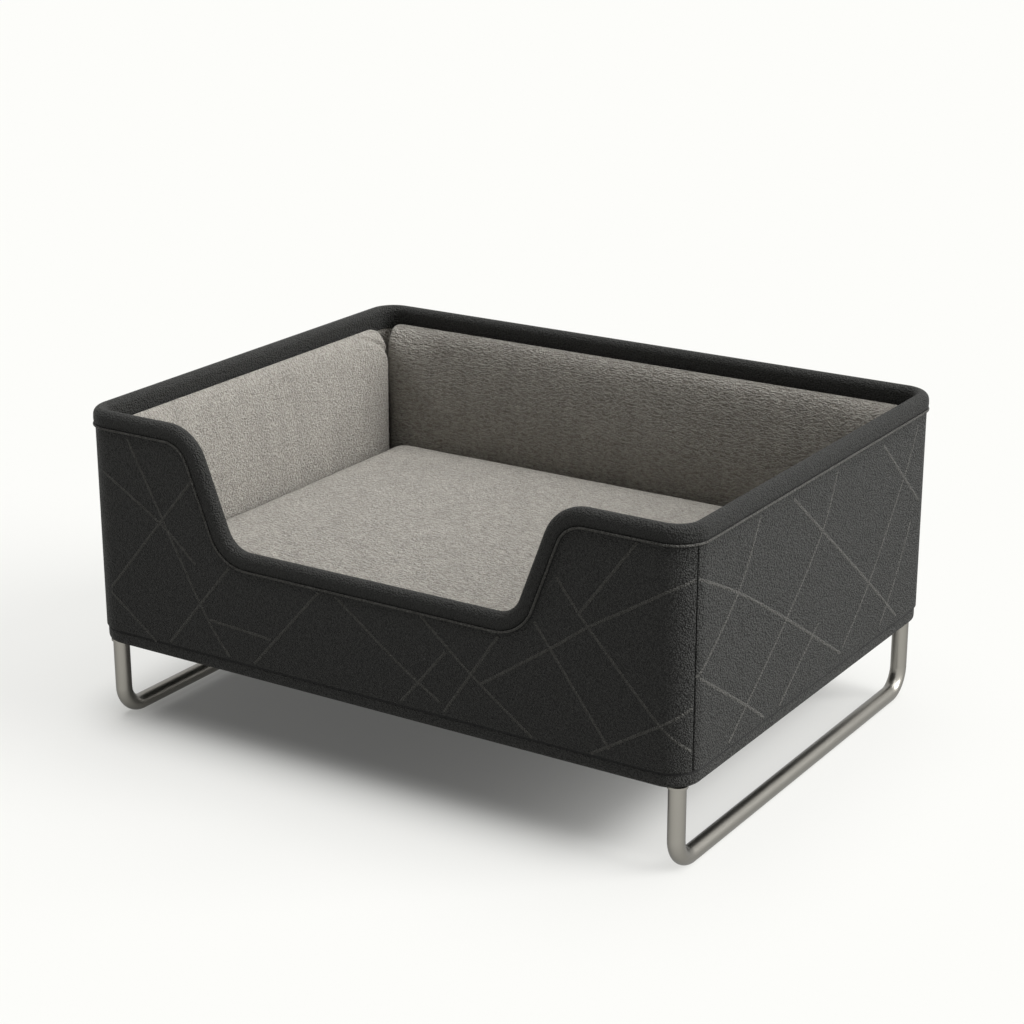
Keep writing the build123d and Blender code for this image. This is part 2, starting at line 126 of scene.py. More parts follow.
class DogBedColours(bpy.types.PropertyGroup):
    """Colours of the materials that show."""

    # Each leatherette's raised colour is a painted highlight on the grain's tops, and its valley colour is
    # painted shade
    leatherette: colour("Leatherette", "Raised grain of the outer covers", "#545452")
    leatherette_valley_shade: colour("Leatherette Grain", "Valleys of the grain", "#262625")
    # The binding is the same leatherette painted darker: painted shade on the rim
    binding: colour("Binding", "Raised grain of the rim binding", "#3e3e3c")
    binding_valley_shade: colour("Binding Grain", "Valleys of the binding's grain", "#272726")
    # The pressed lines are lighter on the covers; on the rim's piping cord these colours are a painted
    # highlight
    line: colour("Pressed Lines", "Raised grain of the lines on the covers", "#6f6e6a")
    line_valley_shade: colour("Pressed Line Grain", "Valleys of the lines' grain", "#53524f")
    # The fabric's threads are painted lighter and the gaps between them darker, as painted light and shade
    # of its ribs
    fabric: colour("Fabric", "Raised threads of the lining and pads", "#b5b1a9")
    fabric_gap_shade: colour("Fabric Weave", "Between the threads", "#88837b")
    steel: colour("Steel", "Sled legs", "#a4a19a")
    floor: colour("Floor", "Studio floor, as the camera sees it", "#ebebe8")


def sizes():
    """The sizes as they are set in the scene."""
    return bpy.context.scene.dog_bed_sizes


def colours():
    """The colours as they are set in the scene."""
    return bpy.context.scene.dog_bed_colours


# Materials


def add(tree, kind, settings=(), **inputs):
    """Adds a node; an input given as a socket is linked, any other is set."""
    node = tree.nodes.new(kind)
    for name, value in dict(settings).items():
        setattr(node, name, value)
    for name, value in inputs.items():
        socket = node.inputs[int(name[1:])] if name[0] == "_" else node.inputs[name.replace("_", " ")]
        if isinstance(value, bpy.types.NodeSocket):
            tree.links.new(value, socket)
        else:
            socket.default_value = value
    return node


def new_material(name):
    """A material, its emptied node tree and the socket of its Object coordinates."""
    material = bpy.data.materials.new(name)
    material.use_nodes = True
    tree = material.node_tree
    tree.nodes.clear()
    place = add(tree, "ShaderNodeTexCoord").outputs["Object"]
    return material, tree, place


def leatherette(name, low, high, rough):
    """Embossed vinyl on a knit: matt pebbles with a painted highlight on their tops and painted shade in
    their valleys.

    Real pebbles are about 1 mm; they are drawn at 2 mm so that they show in the render.
    """
    pebble = 2 * MM
    relief = 2.4 * MM
    wobble = 0.004
    crease_share = 0.45
    smoother = 0.07
    rougher = 0.09
    material, tree, place = new_material(name)
    wander = add(tree, "ShaderNodeTexNoise", Vector=place, Scale=1 / (5 * pebble), Detail=2.0)
    bent = add(
        tree, "ShaderNodeMix", {"data_type": "VECTOR"}, _0=wobble, _4=place, _5=wander.outputs["Color"]
    )
    cells = add(
        tree, "ShaderNodeTexVoronoi", {"feature": "SMOOTH_F1"}, Vector=bent.outputs[1],
        Scale=1 / pebble, Smoothness=0.6,
    )
    crease = add(tree, "ShaderNodeTexNoise", Vector=place, Scale=2.2 / pebble, Detail=3.0)
    top = add(
        tree, "ShaderNodeMapRange", Value=cells.outputs["Distance"], From_Min=0.15, From_Max=0.75,
        To_Min=1.0, To_Max=0.0,
    )
    height = add(
        tree, "ShaderNodeMath", {"operation": "MULTIPLY_ADD"}, _0=crease.outputs["Fac"],
        _1=crease_share, _2=top.outputs[0],
    )
    share = add(tree, "ShaderNodeMapRange", Value=height.outputs[0], From_Min=0.25, From_Max=1.15)
    # Painted light: pebble tops take the raised colour as a painted highlight, valleys and creases the low
    # colour as painted shade
    tint = add(
        tree, "ShaderNodeMix", {"data_type": "RGBA"}, _0=share.outputs[0], _6=(*low, 1), _7=(*high, 1)
    )
    gloss = add(
        tree, "ShaderNodeMapRange", Value=crease.outputs["Fac"], To_Min=rough - smoother,
        To_Max=rough + rougher,
    )
    bump = add(tree, "ShaderNodeBump", Height=height.outputs[0], Strength=1.0, Distance=relief)
    shader = add(
        tree, "ShaderNodeBsdfPrincipled", Base_Color=tint.outputs[2], Roughness=gloss.outputs[0],
        Normal=bump.outputs[0], IOR=1.5, Specular_IOR_Level=0.2,
    )
    add(tree, "ShaderNodeOutputMaterial", Surface=shader.outputs[0])
    return material


def woven_fabric(name, low, high):
    """Matt upholstery cloth: short crinkled ribs along the bed's width, a fine nap, faint streaks; the
    ribs' tops are painted lighter and their hollows darker, as painted light and shade.

    Real threads are about 1 mm apart; the ribs are drawn at 2.6 mm so that they show in the render.
    """
    thread = 2.6 * MM
    relief = 7 * MM
    rib_stretch = (0.38, 1, 1)
    nap_share = 0.4
    streak_width = 26 * MM
    streak_stretch = (1, 1, 0.14)
    material, tree, place = new_material(name)
    ribs = add(tree, "ShaderNodeMapping", Vector=place, Scale=rib_stretch)
    weft = add(
        tree, "ShaderNodeTexNoise", Vector=ribs.outputs[0], Scale=1 / thread, Detail=1.0, Distortion=0.7
    )
    nap = add(tree, "ShaderNodeTexNoise", Vector=place, Scale=1.3 / thread, Detail=2.0)
    height = add(
        tree, "ShaderNodeMix", {"data_type": "FLOAT"}, _0=nap_share, _2=weft.outputs["Fac"],
        _3=nap.outputs["Fac"],
    ).outputs[0]
    share = add(tree, "ShaderNodeMapRange", Value=height, From_Min=0.36, From_Max=0.64).outputs[0]
    # Painted light and shade: rib tops take the light colour, hollows the dark one
    yarn = add(tree, "ShaderNodeMix", {"data_type": "RGBA"}, _0=share, _6=(*low, 1), _7=(*high, 1))
    drape = add(tree, "ShaderNodeMapping", Vector=place, Scale=streak_stretch)
    streak = add(tree, "ShaderNodeTexNoise", Vector=drape.outputs[0], Scale=1 / streak_width, Detail=2.0)
    shade = add(
        tree, "ShaderNodeMapRange", Value=streak.outputs["Fac"], From_Min=0.3, From_Max=0.7,
        To_Min=0.93, To_Max=1.05,
    )
    tint = add(
        tree, "ShaderNodeMix", {"data_type": "RGBA", "blend_type": "MULTIPLY"}, _0=1.0,
        _6=yarn.outputs[2], _7=shade.outputs[0],
    )
    bump = add(tree, "ShaderNodeBump", Height=height, Strength=1.0, Distance=relief)
    shader = add(
        tree, "ShaderNodeBsdfPrincipled", Base_Color=tint.outputs[2], Roughness=0.92,
        Normal=bump.outputs[0], IOR=1.45, Specular_IOR_Level=0.2, Sheen_Weight=0.15, Sheen_Roughness=0.5,
    )
    add(tree, "ShaderNodeOutputMaterial", Surface=shader.outputs[0])
    return material


def brushed_steel(name, tint):
    """Satin stainless tube: fine polishing marks that soften what it mirrors, with a painted dark
    reflection at its edges.
    """
    mark = (1 * MM, 40 * MM, 1 * MM)
    relief = 0.2 * MM
    edge_reflection_share = 0.2
    material, tree, place = new_material(name)
    marks = add(tree, "ShaderNodeMapping", Vector=place, Scale=[1 / size for size in mark])
    grit = add(tree, "ShaderNodeTexNoise", Vector=marks.outputs[0], Scale=1.4, Detail=3.0)
    gloss = add(tree, "ShaderNodeMapRange", Value=grit.outputs["Fac"], To_Min=0.24, To_Max=0.46)
    bump = add(tree, "ShaderNodeBump", Height=grit.outputs["Fac"], Strength=0.06, Distance=relief)
    # Painted reflection: the colour darkens towards the tube's edges, as if it mirrored dark surroundings
    edge = add(tree, "ShaderNodeLayerWeight", Blend=0.5).outputs["Facing"]
    edge_reflection = [share * edge_reflection_share for share in tint]
    shade = add(tree, "ShaderNodeMix", {"data_type": "RGBA"}, _0=edge, _6=(*tint, 1), _7=(*edge_reflection, 1))
    shader = add(
        tree, "ShaderNodeBsdfPrincipled", Base_Color=shade.outputs[2], Metallic=1.0,
        Roughness=gloss.outputs[0], Normal=bump.outputs[0],
    )
    add(tree, "ShaderNodeOutputMaterial", Surface=shader.outputs[0])
    return material


def fine_material(name, low, high, grain, rough, metallic=0.0, strength=0.1):
    """A hidden piece's finish: a fibre or grain of the given size, in millimetres along X, Y, Z."""
    relief = 0.3 * MM
    material, tree, place = new_material(name)
    turned = add(tree, "ShaderNodeMapping", Vector=place, Scale=[1 / (size * MM) for size in grain])
    fibre = add(tree, "ShaderNodeTexNoise", Vector=turned.outputs[0], Scale=1.0, Detail=4.0)
    share = add(tree, "ShaderNodeMapRange", Value=fibre.outputs["Fac"], From_Min=0.3, From_Max=0.7)
    tint = add(
        tree, "ShaderNodeMix", {"data_type": "RGBA"}, _0=share.outputs[0], _6=(*linear(low), 1),
        _7=(*linear(high), 1),
    )
    bump = add(tree, "ShaderNodeBump", Height=fibre.outputs["Fac"], Strength=strength, Distance=relief)
    shader = add(
        tree, "ShaderNodeBsdfPrincipled", Base_Color=tint.outputs[2], Roughness=rough, Metallic=metallic,
        Normal=bump.outputs[0],
    )
    add(tree, "ShaderNodeOutputMaterial", Surface=shader.outputs[0])
    return material


def finish(name):
    """A finish by its name, made when it is first asked for."""
    found = bpy.data.materials.get(name)
    if found:
        return found
    c = colours()
    makers = {
        "embossed_leatherette": lambda n: leatherette(n, c.leatherette_valley_shade, c.leatherette, 0.62),
        # The rim binding: the leatherette painted darker, as painted shade
        "shaded_binding_leatherette": lambda n: leatherette(n, c.binding_valley_shade, c.binding, 0.62),
        # Also the painted highlight on the rim's piping cord
        "pressed_line_and_highlight_leatherette": lambda n: leatherette(n, c.line_valley_shade, c.line, 0.6),
        "crinkled_upholstery_fabric": lambda n: woven_fabric(n, c.fabric_gap_shade, c.fabric),
        "brushed_stainless_steel": lambda n: brushed_steel(n, c.steel),
        # Birch plywood: pale, with long faint grain along the board
        "birch_plywood": lambda n: fine_material(n, "#b7966a", "#cfb286", (240, 6, 6), 0.6),
        # Turned beech dowels: pinkish, with short flecks
        "turned_beech": lambda n: fine_material(n, "#b98a5e", "#d4ab80", (4, 4, 1), 0.55),
        # Hardboard: brown pressed fibre, slightly shiny on its smooth face
        "pressed_hardboard": lambda n: fine_material(n, "#4f3a29", "#6a503a", (2, 2, 2), 0.5),
        # Zinc-plated steel: bluish, slightly cloudy
        "zinc_plated_steel": lambda n: fine_material(n, "#a3a7a8", "#c2c6c6", (3, 3, 3), 0.35, 1.0),
        # Spun-bonded non-woven: black, with a fibrous fleck; its black also paints the shade in the base
        # groove, one corner seam and round the rim piping
        "spun_non_woven_and_painted_shade": lambda n: fine_material(n, "#181818", "#2b2b2b", (1.5, 1.5, 1.5), 0.95, 0, 0.3),
        # Hook-and-loop tape: dark nylon pile
        "hook_and_loop_tape": lambda n: fine_material(n, "#1c1c1c", "#3a3a3a", (1, 1, 1), 0.9, 0, 0.6),
    }
    return makers[name](name)


# Modelling helpers


def activate(piece):
    """Selects one piece alone and makes it active."""
    if bpy.context.object and bpy.context.object.mode != "OBJECT":
        bpy.ops.object.mode_set(mode="OBJECT")
    bpy.ops.object.select_all(action="DESELECT")
    piece.select_set(True)
    bpy.context.view_layer.objects.active = piece


def rename(name):
    """Names the active piece and its mesh."""
    piece = bpy.context.object
    piece.name = name
    piece.data.name = name
    return piece


def ring(name, points):
    """A closed ring of points, shaped from a circle primitive and left selected in edit mode."""
    bpy.ops.object.select_all(action="DESELECT")
    bpy.ops.mesh.primitive_circle_add(vertices=len(points), radius=1)
    piece = rename(name)
    for vertex, point in zip(piece.data.vertices, points):
        vertex.co = point
    bpy.ops.object.mode_set(mode="EDIT")
    bpy.ops.mesh.select_all(action="SELECT")
    return piece


def run(*step):
    """Extrudes the selected ring straight by a step."""
    bpy.ops.mesh.extrude_region_move(TRANSFORM_OT_translate={"value": step})


def turn(centre, axis, angle, steps):
    """Extrudes the selected ring round a centre; spin counts its angle the other way."""
    bpy.ops.mesh.spin(steps=steps, angle=-angle, center=centre, axis=axis)


def close_up(piece, cap):
    """Welds a swept shape, closes its ends where it has them, and turns its faces outwards."""
    weld = 0.02 * MM
    bpy.ops.mesh.select_all(action="SELECT")
    bpy.ops.mesh.remove_doubles(threshold=weld)
    if cap:
        bpy.ops.mesh.fill_holes(sides=0)
    bpy.ops.mesh.normals_make_consistent(inside=False)
    bpy.ops.object.mode_set(mode="OBJECT")
    activate(piece)


def modify(piece, kind, **settings):
    """Adds a modifier with its settings and applies it."""
    activate(piece)
    modifier = piece.modifiers.new(kind.title(), kind)
    for name, value in settings.items():
        setattr(modifier, name, value)
    bpy.ops.object.modifier_apply(modifier=modifier.name)


def dress(piece, body, material, slot, *nodes, smooth=35):
    """Shades a finished piece, gives it its finish, ties it to its body, and hides the CAD nodes that it
    stands for.
    """
    activate(piece)
    bpy.ops.object.shade_smooth_by_angle(angle=math.radians(smooth))
    piece.data.materials.clear()
    piece.data.materials.append(finish(material))
    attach(piece, body)
    if nodes:
        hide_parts(*nodes)


def plan_corner(index):
    """Centre of a corner's arc in plan; 0 is front right, and they run anticlockwise."""
    s = sizes()
    x = s.width / 2 - s.corner
    y = s.depth / 2 - s.corner
    return [(x, -y, 0), (x, y, 0), (-x, y, 0), (-x, -y, 0)][index]


def sweep_rim(name, profile):
    """Carries a profile, given outwards and up from the wall's top middle, once round the rim."""
    s = sizes()
    reach = s.width / 2 - s.corner
    y = -s.depth / 2 + s.stack / 2
    piece = ring(name, [(-reach, y - out, s.wall_top + up) for out, up in profile])
    fall = Vector(((s.entry_top - s.entry_low) / 2, 0, -s.entry_drop))
    bend = math.acos(fall.normalized().x)
    top_reach = s.entry_top_radius * math.tan(bend / 2)
    low_reach = s.entry_low_radius * math.tan(bend / 2)
    slope = fall.length - top_reach - low_reach
    shoulder = s.entry_top / 2 + top_reach
    here = Vector((-reach, y, s.wall_top))

    def go(step):
        run(*step)
        here.xyz = here + step

    def bend_by(angle, radius, side):
        """Turns in the front wall's plane; side is the way to the centre."""
        centre = here + side * radius
        turn(centre, (0, 1, 0), angle, BEND_STEPS)
        here.xyz = centre + Matrix.Rotation(angle, 3, "Y") @ (here - centre)

    def square(direction, sign):
        return Vector((-direction.z, 0, direction.x)) * sign

    level = Vector((1, 0, 0))
    down = fall.normalized()
    rise = Vector((down.x, 0, -down.z))
    go(level * (reach - shoulder))
    bend_by(bend, s.entry_top_radius, square(level, -1))
    go(down * slope)
    bend_by(-bend, s.entry_low_radius, square(down, 1))
    go(level * (s.entry_low - 2 * low_reach))
    bend_by(-bend, s.entry_low_radius, square(level, 1))
    go(rise * slope)
    bend_by(bend, s.entry_top_radius, square(rise, -1))
    go(level * (reach - shoulder))
    across = s.width - 2 * s.corner
    back = s.depth - 2 * s.corner
    for index, step in enumerate(((0, back, 0), (-across, 0, 0), (0, -back, 0))):
        turn(plan_corner(index), UP, QUARTER, CORNER_STEPS)
        run(*step)
    turn(plan_corner(3), UP, QUARTER, CORNER_STEPS)
    close_up(piece, cap=False)
    return piece


def arc(radius, first, last, count):
    """Points on an arc about zero, in degrees from +X."""
    angles = [math.radians(first + (last - first) * i / count) for i in range(count + 1)]
    return [(radius * math.cos(a), radius * math.sin(a)) for a in angles]


def circle(radius, count):
    """Evenly spaced points on a whole circle about zero."""
    return arc(radius, 0, 360, count)[:-1]


def wrap_angle(wall):
    """How far a wall's cover wraps round each of its corners, up to the middle of the seam."""
    s = sizes()
    return s.seam_angle if wall in LONG_WALLS else QUARTER - s.seam_angle


def sweep_wall(name, wall, outline):
    """Carries an outline, given by depth and height, along one wall and round to its seams."""
    s = sizes()
    index = WALLS.index(wall)
    wrap = wrap_angle(wall) - s.seam_gap / s.corner
    span = (s.width if wall in LONG_WALLS else s.depth) - 2 * s.corner
    steps = WRAP_STEPS[wall in LONG_WALLS]
    out = Vector((*OUTWARDS[wall], 0))
    along = Vector((-out.y, out.x, 0))
    first = Vector(plan_corner(index - 1))
    section = []
    for depth, height in outline:
        arm = Matrix.Rotation(-wrap, 3, "Z") @ out * (s.corner - depth)
        section.append(first + arm + Vector((0, 0, height)))
    piece = ring(name, section)
    turn(first, UP, wrap, steps)
    run(*(along * span))
    turn(plan_corner(index), UP, wrap, steps)
    close_up(piece, cap=True)
    return piece


def front_line():
    """The front wall's top edge through the entrance, as points from left to right."""
    s = sizes()
    bend = math.atan2(s.entry_drop, (s.entry_top - s.entry_low) / 2)
    top = s.entry_top_radius
    low = s.entry_low_radius
    turned = math.degrees(bend)
    shoulder = -s.entry_top / 2 - top * math.tan(bend / 2)
    sill = -s.entry_low / 2 + low * math.tan(bend / 2)
    left = [(shoulder + x, s.wall_top - top + z) for x, z in arc(top, 90, 90 - turned, BEND_STEPS)]
    foot = s.wall_top - s.entry_drop + low
    left += [(sill + x, foot + z) for x, z in arc(low, 270 - turned, 270, BEND_STEPS)]
    return left + [(-x, z) for x, z in reversed(left)]


# Operators, with the values and helpers of each before it


class DOGBED_OT_covers(bpy.types.Operator):
    """Foam-backed leatherette on the four outer walls, sewn at the corners"""

    bl_idname = "dogbed.covers"
    bl_label = "Outer Covers"

    def execute(self, context):
        s = sizes()
        edge_roll = 1.3 * MM
        for wall in WALLS:
            spare = s.corner / 2 if wall == "front" else 0
            top = s.wall_top + spare
            outline = ((0, s.cover_foot), (0, top), (s.cover, top), (s.cover, s.cover_foot))
            piece = sweep_wall(f"{wall}_outer_cover", wall, outline)
            modify(
                piece, "BEVEL", width=edge_roll, segments=3, limit_method="ANGLE",
                angle_limit=math.radians(40),
            )
            if wall == "front":
                self.cut_entrance(piece)
            dress(piece, "frame", "embossed_leatherette", "leatherette", f"{wall}_cover")
            # Painted shade: black strips in the base groove and in one corner seam
            self.paint_gap_shade(piece, wall)
        return {"FINISHED"}

    def cut_entrance(self, piece):
        """Cuts away the front cover above the wall's top edge."""
        s = sizes()
        wide = s.width / 2 + s.corner
        high = s.wall_top + s.corner
        outline = [(-wide, s.wall_top), *front_line(), (wide, s.wall_top), (wide, high), (-wide, high)]
        y = -s.depth / 2 - s.corner
        cutter = ring("entrance_cutter", [(x, y, z) for x, z in outline])
        bpy.ops.mesh.edge_face_add()
        run(0, 2 * s.corner, 0)
        close_up(cutter, cap=False)
        modify(piece, "BOOLEAN", operation="DIFFERENCE", solver="EXACT", object=cutter)
        bpy.data.objects.remove(cutter)

    def paint_gap_shade(self, piece, wall):
        """Joins on black strips that paint the shade in the base groove and in one corner seam, where they
        also hide the wood behind.
        """
        s = sizes()
        thin = 0.5 * MM
        groove_height = 3.1 * MM
        overlap = 2 * MM
        seam_half = 3 * MM
        seam_steps = 4
        near = s.cover - thin
        low = s.cover_foot - groove_height
        lap = s.cover_foot + overlap
        groove = ((near, low), (near, lap), (s.cover, lap), (s.cover, low))
        high = s.wall_top - s.rim_outer_leg
        seam = ((near, low), (near, high), (s.cover, high), (s.cover, low))
        index = WALLS.index(wall)
        half = seam_half / s.corner
        end = wrap_angle(wall) - half
        arm = Matrix.Rotation(end, 3, "Z") @ Vector((*OUTWARDS[wall], 0))
        centre = Vector(plan_corner(index))
        section = [centre + arm * (s.corner - depth) + Vector((0, 0, height)) for depth, height in seam]
        strip = ring(f"{wall}_seam_backing", section)
        turn(centre, UP, 2 * half, seam_steps)
        close_up(strip, cap=True)
        shade_strips = [strip, sweep_wall(f"{wall}_backing", wall, groove)]
        activate(piece)
        for shade_strip in shade_strips:
            # Their black stands in for the shade in the groove and the seam
            shade_strip.data.materials.append(finish("spun_non_woven_and_painted_shade"))
            shade_strip.select_set(True)
        bpy.ops.object.join()


class DOGBED_OT_rim(bpy.types.Operator):
    """One padded leatherette binding round the top edge and through the entrance"""

    bl_idname = "dogbed.rim"
    bl_label = "Rim Binding"

    def execute(self, context):
        s = sizes()
        leather = 2 * MM
        roll = 0.7 * MM
        puff = 0.25 * MM
        hem = 0.5 * MM
        outer_tuck = 0.9 * MM
        inner_tuck = 1.2 * MM
        face_steps = 20
        inside_steps = 10
        wide = s.rim_half
        thin = wide - leather
        outer = -s.rim_outer_leg
        inner = -s.rim_inner_leg
        profile = [(wide - outer_tuck, outer), (wide - roll / 3, outer + roll), (wide + puff, outer / 2)]
        profile += arc(wide, 0, 180, face_steps)
        profile += [(-wide, inner + 2 * roll), (-wide + hem, inner + roll / 2)]
        profile += [(-wide + inner_tuck, inner), (-thin, inner + roll)]
        profile += arc(thin, 180, 0, inside_steps)
        profile += [(thin, outer + roll)]
        piece = sweep_rim("rim_binding", profile)
        nodes = [f"{wall}_{layer}" for wall in WALLS for layer in ("binding", "rim_foam")]
        # Painted shade: the binding's leatherette is painted darker than the covers
        dress(piece, "frame", "shaded_binding_leatherette", "leatherette", *nodes, smooth=60)
        return {"FINISHED"}


class DOGBED_OT_piping(bpy.types.Operator):
    """A covered cord, painted lighter as a painted highlight, on a black strip of painted groove shade,
    sewn under the binding's outer edge
    """

    bl_idname = "dogbed.piping"
    bl_label = "Rim Piping"

    def execute(self, context):
        s = sizes()
        radius = s.piping / 2
        face = s.stack / 2
        gap = 1.1 * MM
        cord_sides = 12
        groove_shade_back = 0.05 * MM
        groove_shade_face = 0.35 * MM
        up = -s.rim_outer_leg - gap - radius
        section = [(face + radius + x, up + z) for x, z in circle(radius, cord_sides)]
        piece = sweep_rim("rim_piping_cord", section)
        # Painted highlight: the cord takes the lighter colours of the pressed lines
        dress(piece, "frame", "pressed_line_and_highlight_leatherette", "leatherette", "rim_piping", smooth=80)
        low = up - radius - gap
        high = -s.rim_outer_leg + gap
        near = face + groove_shade_back
        proud = face + groove_shade_face
        # Painted shade: a black strip behind the cord paints the dark grooves above and below it
        groove_shade = sweep_rim("piping_groove_shade", [(near, low), (proud, low), (proud, high), (near, high)])
        groove_shade.data.materials.append(finish("spun_non_woven_and_painted_shade"))
        activate(piece)
        groove_shade.select_set(True)
        bpy.ops.object.join()
        return {"FINISHED"}


# Pressed lines, each by its distance along the wall from the middle and its height, in millimetres
LINES = {
    "front": (
        ((-419, 357), (-322, 300), (-269, 256)),
        ((-375, 410), (-263, 202), (-218, 140)),
        ((-269, 370), (-416, 196)),
        ((-417, 190), (-342, 135)),
        ((-213, 264), (-318, 139)),
        ((-250, 185), (-150, 179)),
        ((-72, 259), (-178, 140)),
        ((-47, 259), (46, 192), (109, 153)),
        ((82, 260), (152, 202), (242, 138)),
        ((194, 258), (115, 142)),
        ((118, 221), (50, 140)),
        ((169, 191), (269, 260), (318, 296), (380, 334), (425, 362), (453, 373)),
        ((244, 287), (348, 149)),
        ((274, 349), (316, 297), (414, 194), (452, 163)),
        ((381, 412), (306, 311)),
        ((323, 138), (414, 194), (453, 217)),
    ),
    "right": (
        ((-171, 407), (-223, 328), (-316, 253)),
        ((36, 405), (-1, 338), (-93, 252), (-237, 142)),
        ((-86, 404), (147, 223), (241, 146)),
        ((281, 402), (246, 343), (147, 223), (73, 157)),
        ((172, 403), (296, 294)),
        ((274, 271), (228, 197), (188, 150)),
        ((-316, 373), (-220, 326), (-93, 252), (68, 152)),
        ((-311, 251), (-198, 178), (-145, 142)),
        ((-2, 216), (-104, 142)),
    ),
    "back": (
        ((-452, 372), (-310, 286), (-205, 205), (-126, 139)),
        ((-438, 176), (-318, 262), (-166, 408)),
        ((-352, 408), (-296, 306), (-214, 140)),
        ((-250, 152), (-92, 244), (70, 410)),
        ((-60, 408), (22, 290), (142, 141)),
        ((-120, 300), (60, 215), (180, 142)),
        ((110, 408), (236, 296), (330, 222), (448, 148)),
        ((172, 225), (300, 330), (392, 408)),
        ((286, 139), (370, 240), (450, 336)),
    ),
    "left": (
        ((-310, 330), (-212, 262), (-96, 142)),
        ((-292, 150), (-150, 250), (-36, 404)),
        ((-128, 402), (10, 268), (112, 140)),
        ((-40, 150), (86, 240), (246, 402)),
        ((60, 402), (182, 262), (306, 176)),
        ((196, 142), (262, 232), (310, 318)),
        ((-236, 402), (-180, 318)),
    ),
}


def wall_point(wall, along, height, proud):
    """A point on a wall's outside, by its distance along the unrolled cover and its height."""
    s = sizes()
    out = Vector((*OUTWARDS[wall], 0))
    side = Vector((-out.y, out.x, 0))
    long_wall = wall in LONG_WALLS
    flat = (s.width if long_wall else s.depth) / 2 - s.corner
    away = (s.depth if long_wall else s.width) / 2 - s.corner
    past = max(abs(along) - flat, 0) / s.corner
    sign = math.copysign(1, along)
    arm = out * math.cos(past) + side * sign * math.sin(past)
    spot = out * away + side * sign * min(abs(along), flat) + arm * (s.corner + proud)
    return Vector((spot.x, spot.y, height))


def smooth_line(points, spacing):
    """Evenly close points on a smooth line through the given ones."""
    ends = [points[0], *points, points[-1]]
    line = []
    for a, b, c, d in zip(ends, ends[1:], ends[2:], ends[3:]):
        a, b, c, d = (Vector(p) for p in (a, b, c, d))
        count = max(2, round((c - b).length / spacing))
        for i in range(count):
            t = i / count
            bow = 2 * a - 5 * b + 4 * c - d
            twist = 3 * b - a - 3 * c + d
            line.append(0.5 * (2 * b + (c - a) * t + bow * t**2 + twist * t**3))
    return [*line, Vector(points[-1])]


class DOGBED_OT_lines(bpy.types.Operator):
    """Fine raised lines that cross on the outer covers"""

    bl_idname = "dogbed.lines"
    bl_label = "Pressed Lines"

    def execute(self, context):
        s = sizes()
        # A line's section, by shares of its width and of its rise
        across = ((-0.5, -0.6), (-0.36, 0.5), (0, 1), (0.36, 0.5), (0.5, -0.6))
        strips = len(across) - 1
        spacing = 7
        thick = 0.5 * MM
        for wall, lines in LINES.items():
            ribbons = []
            for points in lines:
                line = [p * MM for p in smooth_line(points, spacing)]
                last = len(line) - 1
                bpy.ops.object.select_all(action="DESELECT")
                bpy.ops.mesh.primitive_grid_add(x_subdivisions=last, y_subdivisions=strips, size=1)
                ribbon = rename(f"{wall}_line")
                for vertex in ribbon.data.vertices:
                    i = round((vertex.co.x + 0.5) * last)
                    share, rise = across[round((vertex.co.y + 0.5) * strips)]
                    way = (line[min(i + 1, last)] - line[max(i - 1, 0)]).normalized()
                    spot = line[i] + Vector((-way.y, way.x)) * share * s.line_width
                    vertex.co = wall_point(wall, spot.x, spot.y, rise * s.line_rise)
                modify(ribbon, "SOLIDIFY", thickness=thick, offset=-1)
                ribbons.append(ribbon)
            activate(ribbons[0])
            for ribbon in ribbons:
                ribbon.select_set(True)
            bpy.ops.object.join()
            piece = rename(f"{wall}_pressed_lines")
            dress(piece, "frame", "pressed_line_and_highlight_leatherette", "leatherette", smooth=60)
        return {"FINISHED"}


class DOGBED_OT_legs(bpy.types.Operator):
    """Two sled legs, each bent from one stainless tube"""

    bl_idname = "dogbed.legs"
    bl_label = "Sled Legs"

    def execute(self, context):
        s = sizes()
        tube_sides = 48
        axis = (1, 0, 0)
        drop = s.leg_top - s.tube / 2 - s.tube_bend
        low = s.tube / 2 + s.tube_bend
        y = s.depth / 2 - s.leg_inset
        for side, sign in SIDES.items():
            x = sign * (s.width / 2 - s.leg_inset)
            section = circle(s.tube / 2, tube_sides)
            piece = ring(f"{side}_sled_leg", [(x + a, b - y, s.leg_top) for a, b in section])
            run(0, 0, -drop)
            turn((x, s.tube_bend - y, low), axis, QUARTER, TUBE_STEPS)
            run(0, 2 * (y - s.tube_bend), 0)
            turn((x, y - s.tube_bend, low), axis, QUARTER, TUBE_STEPS)
            run(0, 0, drop)
            close_up(piece, cap=False)
            modify(piece, "SOLIDIFY", thickness=s.tube_wall, offset=-1)
            dress(piece, "frame", "brushed_stainless_steel", "stainless_steel", f"{side}_leg", smooth=50)
        return {"FINISHED"}


# Frames of the cloth's run, the height of a pad's back that it holds, and how long a pad's ends are
SWELL_FRAMES = 14
HELD_HEIGHT = 2 * MM
END_LENGTH = 110 * MM


